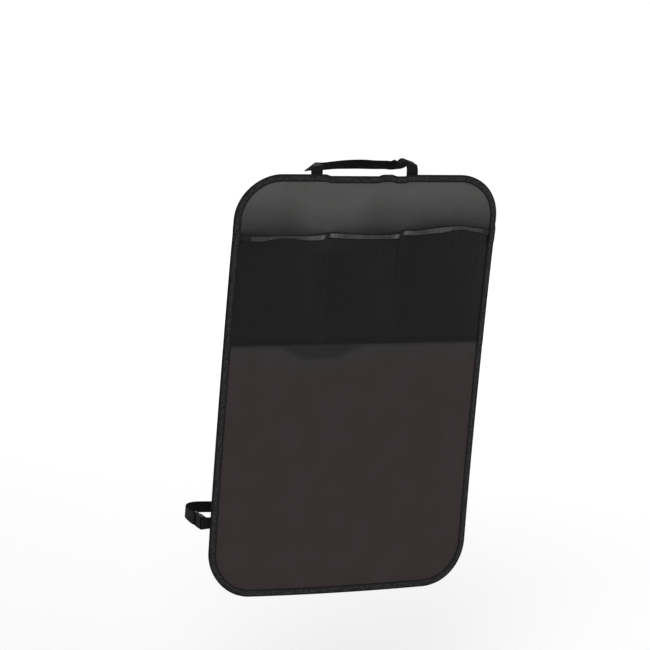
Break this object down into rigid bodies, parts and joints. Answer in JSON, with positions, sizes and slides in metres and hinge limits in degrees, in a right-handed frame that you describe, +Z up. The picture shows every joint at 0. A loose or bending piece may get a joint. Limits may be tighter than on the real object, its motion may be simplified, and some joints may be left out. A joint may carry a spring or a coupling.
{
  "type": "car seat kick mat",
  "caption": "Rounded cloth mat that hangs on the back of a car seat, with bound edges, net pockets under a stretch hem, a headrest strap and a buckled strap round the seat.",
  "frame": {"origin": "middle of the mat's back face, which rests on the seat", "axes": "+Z up along the mat, -Y out of the side with the pockets, +Y into the seat, +X to the right seen from the pocket side"},
  "size_m": [0.4937, 0.1148, 0.7275],
  "materials": {
    "panel_cloth": "coated plain weave, brown-black",
    "edge_tape": "ribbed binding tape, black",
    "net": "knitted mesh, black",
    "hem_tape": "smooth stretch tape, dark grey",
    "webbing": "woven webbing, black",
    "buckle_plastic": "moulded, fine grain, black"
  },
  "bodies": {
    "root": {"back_panel": "panel_cloth", "edge_tape": "edge_tape", "pocket_net": "net", "pocket_hem": "hem_tape", "headrest_strap": "webbing", "socket_tab": "webbing", "lower_strap": "webbing", "buckle_socket": "buckle_plastic", "buckle_plug": "buckle_plastic"}
  },
  "joints": []
}
